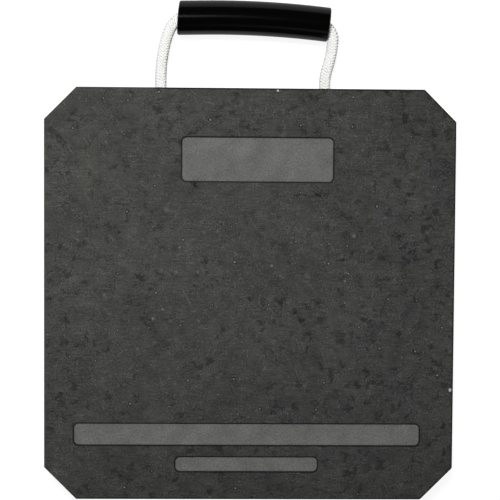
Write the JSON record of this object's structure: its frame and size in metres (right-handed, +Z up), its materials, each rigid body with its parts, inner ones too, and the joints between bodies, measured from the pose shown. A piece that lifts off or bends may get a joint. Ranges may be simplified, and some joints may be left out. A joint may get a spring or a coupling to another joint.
{
  "type": "jack base plate",
  "caption": "Square plastic base plate with cut corners that spreads a jack's or outrigger's load, with a rope carry handle in a hose grip.",
  "frame": {"origin": "centre of the plate's underside, on the floor it lies on", "axes": "+Z up, out of the marked upper face; +Y from the plate's centre towards the handle; +X to the right when the handle is at the top"},
  "size_m": [0.4064, 0.4979, 0.0381],
  "materials": {
    "plate": "black recycled polyethylene with a fine pressed grain, scuffed",
    "grip": "smooth glossy black hose",
    "rope": "white braided synthetic rope"
  },
  "bodies": {
    "root": {"plate": "plate", "grip": "grip", "rope": "rope", "knot_left": "rope", "knot_right": "rope"}
  },
  "joints": []
}
